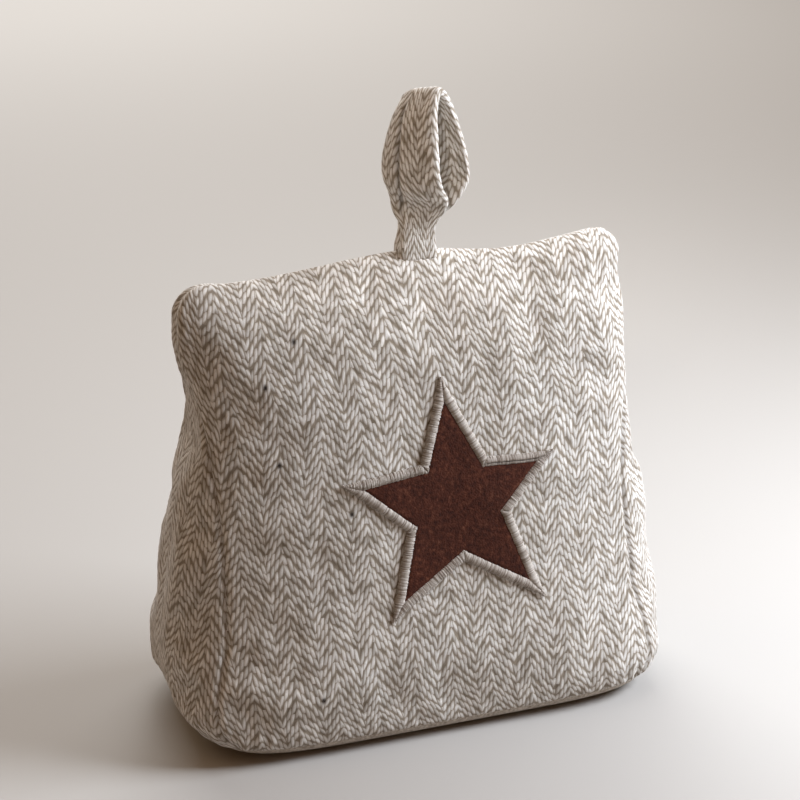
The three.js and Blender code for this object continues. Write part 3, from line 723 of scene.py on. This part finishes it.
def smooth_curve(stations, count):
    """Evenly spaced points on a centripetal curve through stations."""
    p = np.array([2 * stations[0] - stations[1], *stations, 2 * stations[-1] - stations[-2]], float)
    out = []
    for i in range(1, len(p) - 2):
        knots = [0.0]
        for a, b in zip(p[i - 1:i + 2], p[i:i + 3]):
            knots.append(knots[-1] + max(np.linalg.norm(b - a), 1e-6) ** 0.5)
        t = np.linspace(knots[1], knots[2], 24, endpoint=i == len(p) - 3)[:, None]
        t0, t1, t2, t3 = knots
        a1 = (t1 - t) / (t1 - t0) * p[i - 1] + (t - t0) / (t1 - t0) * p[i]
        a2 = (t2 - t) / (t2 - t1) * p[i] + (t - t1) / (t2 - t1) * p[i + 1]
        a3 = (t3 - t) / (t3 - t2) * p[i + 1] + (t - t2) / (t3 - t2) * p[i + 2]
        b1 = (t2 - t) / (t2 - t0) * a1 + (t - t0) / (t2 - t0) * a2
        b2 = (t3 - t) / (t3 - t1) * a2 + (t - t1) / (t3 - t1) * a3
        out.append((t2 - t) / (t2 - t1) * b1 + (t - t1) / (t2 - t1) * b2)
    curve = np.concatenate(out)
    length = np.concatenate([[0], np.cumsum(np.linalg.norm(np.diff(curve, axis=0), axis=1))])
    even = np.linspace(0, length[-1], count)
    return np.stack([np.interp(even, length, curve[:, k]) for k in range(3)], 1), even


def loop_line(count):
    leg = [(-FOOT_SINK, LEG_LINE[0][1]), *LEG_LINE]
    near = [np.array([0, -out, up]) for up, out in leg]
    far = [np.array([0, out, up]) for up, out in leg][::-1]
    return smooth_curve([*near, np.array([0, 0, LOOP_RISE]), *far], count)


strap_width_at = through(STRAP_WIDTHS)
far_fullness_at = through(FAR_FULLNESS)
fold_place_at = through(FOLD_LINE)


def strap_section(share):
    """Shares of the strap's half width and half thickness at shares of the way round its section."""
    angle = np.linspace(math.pi, 3 * math.pi, 2001)
    edge, face = (np.sign(v) * np.abs(v) ** 0.5 for v in (np.cos(angle), np.sin(angle)))
    width = np.diff(edge) * strap_width_at(LOOP_RISE / 2) / 2
    thickness = np.diff(face) * STRAP_THICKNESS / 2
    length = np.concatenate([[0], np.cumsum(np.hypot(width, thickness))])
    even = length[-1] * share
    return np.interp(even, length, edge), np.interp(even, length, face)


def fold_strap(edge, face, height):
    """How far the strap's folds move its cloth inward, and how deep in the crease line each point lies."""
    crease = CREASE_DEPTH * np.maximum((-edge - CREASE_START) / (1 - CREASE_START), 0)
    curl = CURL_DEPTH * np.maximum((edge - CURL_START) / (1 - CURL_START), 0)
    flat_top = smoothstep(height, *FLAT_TOP)
    fold = (crease + curl) * smoothstep(height, *FLAT_FOOT) * (1 - TOP_FLATNESS * flat_top)
    fold = fold + TOP_TILT * flat_top * (1 - edge) / 2
    line = np.where(face < 0, np.exp(-(((edge - fold_place_at(height)) / FOLD_REACH) ** 2)), 0)
    line = line * smoothstep(height, *FOLD_FOOT) * (1 - smoothstep(height, *FOLD_TOP))
    return fold + FOLD_DEPTH * line, line


def turn_loop(points):
    """Turns and leans the loop as it rises, and stands it on the ridge."""
    x, y, z = np.moveaxis(points, -1, 0)
    angle = -math.radians(LOOP_TURN) * smoothstep(z, 0, TURN_HEIGHT)
    lean = LOOP_LEAN * smoothstep(z, 0, LEAN_HEIGHT)
    turned_x = x * np.cos(angle) - y * np.sin(angle) + LOOP_X + lean
    turned_y = x * np.sin(angle) + y * np.cos(angle)
    return np.stack([turned_x, turned_y, z + BAG_HEIGHT + ridge_rise_at(LOOP_X)], -1)


def make_loop(material):
    """Strap of folded cloth, creased along its left part, that turns and leans as it rises."""
    round_length = STRAP_YARNS * YARN
    around = int(round(round_length / COLUMN_STEP))
    _, total = loop_line(2)
    rows = int(round(total[-1] / ROW_STEP)) + 1
    line, along = loop_line(rows)
    share = (np.arange(around) + 0.5) / around
    edge, face = strap_section(share)
    across = share * round_length - round_length / 4 + STRAP_STRIPE + STRIPE_START
    across, along = np.meshgrid(across, along)
    along = along + wander(across, along, STRAP_WANDER, 91)
    sideways = np.array([1.0, 0, 0])
    inward = np.cross(unit(np.gradient(line, axis=0)), sideways)
    height = line[:, 2:3]
    fold, crease_line = fold_strap(edge, face, height)
    depth = face * STRAP_THICKNESS / 2 + fold
    fuller = np.where(line[:, 1:2] > 0, far_fullness_at(height), 0) * np.maximum(edge, 0)
    reach = edge * strap_width_at(height) / 2 + fuller
    points = line[:, None] + sideways * reach[..., None] + inward[:, None] * depth[..., None]
    points = turn_loop(points)
    lift = weave_relief(across, along) + SEAT_OF_WEAVE
    points = points + closed_normals(points) * lift[..., None]
    # Painted shade along the strap's fold line
    painted_fold_shade = FOLD_PAINTED_SHADE * crease_line**2
    attributes = [("across", across.ravel()), ("along", along.ravel()), ("fleck_and_shade", painted_fold_shade.ravel())]
    obj = mesh_object("carrying_loop", points.reshape(-1, 3), tube_faces(rows, around), material, attributes)
    merge(obj)
    return obj


# Materials

# Colours of the cloth: of a yarn from its gaps to its crown, and the tones of grains, fibres and patches
FULLNESS_IN_GAPS = -1.2
YARN_COLOURS = [
    (0.05, (0.26, 0.222, 0.175)),
    (0.42, (0.44, 0.405, 0.36)),
    (0.66, (0.59, 0.568, 0.538)),
    (0.95, (0.70, 0.692, 0.675)),
]
GRAIN_TONES = [(0.0, (0.74, 0.72, 0.69)), (0.3, (0.93, 0.925, 0.92)), (1.0, (1.12, 1.12, 1.12))]
FIBRE_TONES = [(0.3, (0.80, 0.785, 0.77)), (0.7, (1.10, 1.10, 1.10))]
PATCH_TONES = [(0.35, (0.90, 0.88, 0.86)), (0.65, (1.04, 1.04, 1.04))]
# Colour of the dark flecks, also used for the painted shade in the seams and along the loop's fold line
FLECK_AND_SHADE_COLOUR = (0.02, 0.012, 0.008)
BASE_COLOURS = [(0.3, (0.26, 0.215, 0.17)), (0.7, (0.58, 0.52, 0.45))]
FELT_COLOURS = [(0.30, (0.030, 0.008, 0.005)), (0.55, (0.062, 0.018, 0.010)), (0.78, (0.125, 0.045, 0.025))]
FELT_TONES = [(0.3, (0.82, 0.82, 0.82)), (0.7, (1.15, 1.12, 1.08))]
THREAD_COLOURS = [(0.0, (0.22, 0.18, 0.15)), (0.3, (0.35, 0.31, 0.27)), (1.0, (0.50, 0.46, 0.42))]
FLOOR_COLOUR = (0.40, 0.385, 0.365)


class Value:
    """A value that a material works out at each point, for the usual arithmetic."""

    def __init__(self, tree, socket):
        self.tree = tree
        self.socket = socket

    def __add__(self, other):
        return calc(self.tree, "ADD", self, other)

    def __sub__(self, other):
        return calc(self.tree, "SUBTRACT", self, other)

    def __rsub__(self, other):
        return calc(self.tree, "SUBTRACT", other, self)

    def __mul__(self, other):
        return calc(self.tree, "MULTIPLY", self, other)

    def __rmul__(self, other):
        return calc(self.tree, "MULTIPLY", other, self)

    def __truediv__(self, other):
        return calc(self.tree, "DIVIDE", self, other)

    def __floordiv__(self, other):
        return calc(self.tree, "FLOOR", self / other)

    def __pow__(self, other):
        return calc(self.tree, "POWER", self, other)

    def __rpow__(self, other):
        return calc(self.tree, "POWER", other, self)

    def __lt__(self, other):
        return calc(self.tree, "LESS_THAN", self, other)

    def __neg__(self):
        return self * -1.0

    def __abs__(self):
        return calc(self.tree, "ABSOLUTE", self)


def connect(tree, value, socket):
    """Feeds a socket with a value of the material, a colour or a number."""
    if isinstance(value, Value):
        tree.links.new(value.socket, socket)
    elif isinstance(value, tuple):
        socket.default_value = (*value, 1)
    else:
        socket.default_value = value


def calc(tree, operation, *values):
    node = add(tree, "ShaderNodeMath", operation=operation)
    for value, socket in zip(values, node.inputs):
        connect(tree, value, socket)
    return Value(tree, node.outputs[0])


def new_material(name):
    material = bpy.data.materials.new(name)
    material.use_nodes = True
    tree = material.node_tree
    shader = next(n for n in tree.nodes if n.type == "BSDF_PRINCIPLED")
    return material, tree, shader


def add(tree, kind, **settings):
    node = tree.nodes.new(kind)
    for key, value in settings.items():
        if key in node.inputs:
            node.inputs[key].default_value = value
        else:
            setattr(node, key, value)
    return node


def ramp(tree, value, stops):
    """The colour that stops of place and colour have at a value."""
    node = add(tree, "ShaderNodeValToRGB")
    elements = node.color_ramp.elements
    while len(elements) < len(stops):
        elements.new(0.5)
    for element, (place, colour) in zip(elements, stops):
        element.position = place
        element.color = (*colour, 1)
    connect(tree, value, node.inputs["Fac"])
    return Value(tree, node.outputs["Color"])


def attribute(tree, name):
    return Value(tree, add(tree, "ShaderNodeAttribute", attribute_name=name).outputs["Fac"])


def vector(tree, *values):
    node = add(tree, "ShaderNodeCombineXYZ")
    for value, socket in zip(values, node.inputs):
        connect(tree, value, socket)
    return Value(tree, node.outputs[0])


def noise(tree, scale, detail=4.0, place=None):
    """Fractal noise over the object, or over places of its own."""
    node = add(tree, "ShaderNodeTexNoise", Scale=scale, Detail=detail)
    place = place or Value(tree, add(tree, "ShaderNodeTexCoord").outputs["Object"])
    connect(tree, place, node.inputs["Vector"])
    return Value(tree, node.outputs["Fac"])


def random_values(tree, place):
    """A random value for each whole place, and three more."""
    node = add(tree, "ShaderNodeTexWhiteNoise")
    connect(tree, place, node.inputs["Vector"])
    parts = add(tree, "ShaderNodeSeparateColor")
    tree.links.new(node.outputs["Color"], parts.inputs[0])
    return Value(tree, node.outputs["Value"]), [Value(tree, part) for part in parts.outputs]


def mix(tree, a, b, blend="MULTIPLY", share=1.0):
    node = add(tree, "ShaderNodeMix", data_type="RGBA", blend_type=blend)
    connect(tree, share, node.inputs[0])
    connect(tree, a, node.inputs[6])
    connect(tree, b, node.inputs[7])
    return Value(tree, node.outputs[2])


def finish_cloth(tree, shader, colour, height, strength, distance, roughness, sheen, tint):
    """Colour, relief and dull sheen of a cloth."""
    connect(tree, colour, shader.inputs["Base Color"])
    node = add(tree, "ShaderNodeBump", Strength=strength, Distance=distance)
    connect(tree, height, node.inputs["Height"])
    tree.links.new(node.outputs["Normal"], shader.inputs["Normal"])
    shader.inputs["Roughness"].default_value = roughness
    shader.inputs["Specular IOR Level"].default_value = 0.2
    shader.inputs["Sheen Weight"].default_value = sheen
    shader.inputs["Sheen Roughness"].default_value = 0.5
    shader.inputs["Sheen Tint"].default_value = (*tint, 1)


def grain_values(tree):
    """At each point of the weave: how full the yarn is, a random value for its grain, and its fibres."""
    lattice = weave_lattice(attribute(tree, "across"), attribute(tree, "along"))
    pair, whole, count, side, x, y = lattice
    grain = whole + pair * (FALLING_YARNS + RISING_YARNS) + side * 0.25
    luck, (luck_across, luck_along, luck_lean) = random_values(tree, vector(tree, grain, count))
    gap = yarn_gap(x)
    x = x + (luck_across - 0.5) * SHIFT_ACROSS
    y = y + (luck_along - 0.5) * SHIFT_ALONG
    beside, down, fullness = grain_shape(x, y, side, (luck_lean - 0.5) * LEAN_SPREAD)
    fibres = noise(tree, 1.6, place=vector(tree, beside * 2.6, down * 0.5 + count * 7.3, whole))
    return fullness - gap, luck, fibres


def cloth_material():
    material, tree, shader = new_material("herringbone_cloth")
    fullness, luck, fibres = grain_values(tree)
    raised = (fullness - FULLNESS_IN_GAPS) / (1 - FULLNESS_IN_GAPS)
    colour = mix(tree, ramp(tree, raised, YARN_COLOURS), ramp(tree, luck, GRAIN_TONES))
    colour = mix(tree, colour, ramp(tree, fibres, FIBRE_TONES))
    colour = mix(tree, colour, ramp(tree, noise(tree, 90, 3.0), PATCH_TONES))
    # Darkens the flecks, and paints shade into the seams and along the loop's fold line
    colour = mix(tree, colour, FLECK_AND_SHADE_COLOUR, "MIX", attribute(tree, "fleck_and_shade"))
    height = calc(tree, "MAXIMUM", fullness, -0.3) + fibres * 0.5
    finish_cloth(tree, shader, colour, height, 0.11, 0.0004, 0.95, 0.25, (0.95, 0.94, 0.92))
    return material


def plain_cloth_material():
    material, tree, shader = new_material("base_cloth")
    colour = ramp(tree, noise(tree, 480, 6.0), BASE_COLOURS)
    finish_cloth(tree, shader, colour, noise(tree, 700, 5.0), 0.7, 0.0006, 0.95, 0.2, (0.9, 0.87, 0.82))
    return material


def felt_material():
    material, tree, shader = new_material("star_felt")
    colour = ramp(tree, noise(tree, 420, 8.0), FELT_COLOURS)
    colour = mix(tree, colour, ramp(tree, noise(tree, 60, 3.0), FELT_TONES))
    finish_cloth(tree, shader, colour, noise(tree, 900, 8.0), 0.8, 0.0006, 1.0, 0.12, (0.6, 0.42, 0.34))
    return material


def thread_material():
    material, tree, shader = new_material("border_thread")
    colour = ramp(tree, attribute(tree, "tone"), THREAD_COLOURS)
    finish_cloth(tree, shader, colour, noise(tree, 2500, 3.0), 0.35, 0.0002, 0.75, 0.2, (0.8, 0.75, 0.7))
    return material


def floor_material():
    material, _, shader = new_material("studio_floor")
    shader.inputs["Base Color"].default_value = (*FLOOR_COLOUR, 1)
    shader.inputs["Roughness"].default_value = 0.8
    return material


# Studio, with its lights in metres and watts

HALF_FLOOR = 6000.0
LOOP_SPOT_ANGLE, LOOP_SPOT_SOFTNESS = 7.0, 0.12


def make_floor():
    points = [(x * HALF_FLOOR, y * HALF_FLOOR, 0) for x, y in ((-1, -1), (1, -1), (1, 1), (-1, 1))]
    floor = mesh_object("studio_floor", points, [[0, 1, 2, 3]], floor_material())


def add_light(name, kind, place, aim, power, colour):
    light = bpy.data.lights.new(name, kind)
    light.energy = power
    light.color = colour
    obj = bpy.data.objects.new(name, light)
    obj.location = place
    obj.rotation_euler = (Vector(aim) - Vector(place)).to_track_quat("-Z", "Y").to_euler()
    bpy.context.scene.collection.objects.link(obj)
    return light


def area_light(name, place, aim, size, power, colour):
    light = add_light(name, "AREA", place, aim, power, colour)
    light.shape = "SQUARE"
    light.size = size


def make_lights():
    world = bpy.data.worlds.new("studio")
    world.use_nodes = True
    background = next(n for n in world.node_tree.nodes if n.type == "BACKGROUND")
    background.inputs["Color"].default_value = (1.0, 0.57, 0.285, 1)
    background.inputs["Strength"].default_value = 0.2
    bpy.context.scene.world = world
    area_light("window_key", (0.75, -0.24, 0.66), (0, 0, 0.13), 0.42, 17, (0.90, 0.965, 1.06))
    area_light("top_soft", (0.35, 0.6, 1.5), (0.1, 0.1, 0.2), 1.0, 9, (0.96, 0.98, 1.0))
    area_light("left_soft", (-0.8, 0.2, 1.3), (0, 0, 0.3), 0.8, 2.2, (1.0, 0.82, 0.62))
    spot = add_light("loop_light", "SPOT", (-0.55, -0.95, 0.85), (0.014, 0, 0.350), 78, (1.0, 0.93, 0.86))
    spot.spot_size = math.radians(LOOP_SPOT_ANGLE)
    spot.spot_blend = 1.0
    spot.shadow_soft_size = LOOP_SPOT_SOFTNESS
    area_light("far_floor", (0.3, 3.2, 2.2), (0.3, 2.6, 0), 2.5, 120, (0.97, 0.99, 1.0))
    bpy.context.scene.view_settings.view_transform = "Standard"


# Assembly

# Half widths of cloth that cover a face and a gusset, and the length up the outline where a gusset ends
FACE_REACH, GUSSET_REACH = 176, 80
GUSSET_TOP = OUTLINE - (BAG_HEIGHT - GUSSET_HEIGHT) + (RIDGE_ROUND - RIDGE_ARC)


def dress(obj, slot, *nodes):
    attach(obj, "root")
    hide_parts(*nodes)


def main():
    make_camera()
    cloth = cloth_material()
    swelling = settle_cloth()
    panels = [
        make_panel("front_panel", -math.pi / 2, FACE_REACH, OUTLINE, 11, cloth, swelling, FLECKS),
        make_panel("back_panel", math.pi / 2, FACE_REACH, OUTLINE, 21, cloth, swelling),
        make_panel("right_gusset", 0.0, GUSSET_REACH, GUSSET_TOP, 41, cloth, swelling),
        make_panel("left_gusset", math.pi, GUSSET_REACH, GUSSET_TOP, 51, cloth, swelling),
        make_base(plain_cloth_material()),
    ]
    for panel in panels:
        dress(panel, "herringbone_cloth", "bag_body")
    dress(make_star(felt_material(), swelling), "star_felt", "star_applique")
    dress(make_stitches(thread_material(), swelling), "border_thread", "star_border")
    dress(make_loop(cloth), "loop_cloth", "handle_loop")
    make_floor()
    make_lights()


main()
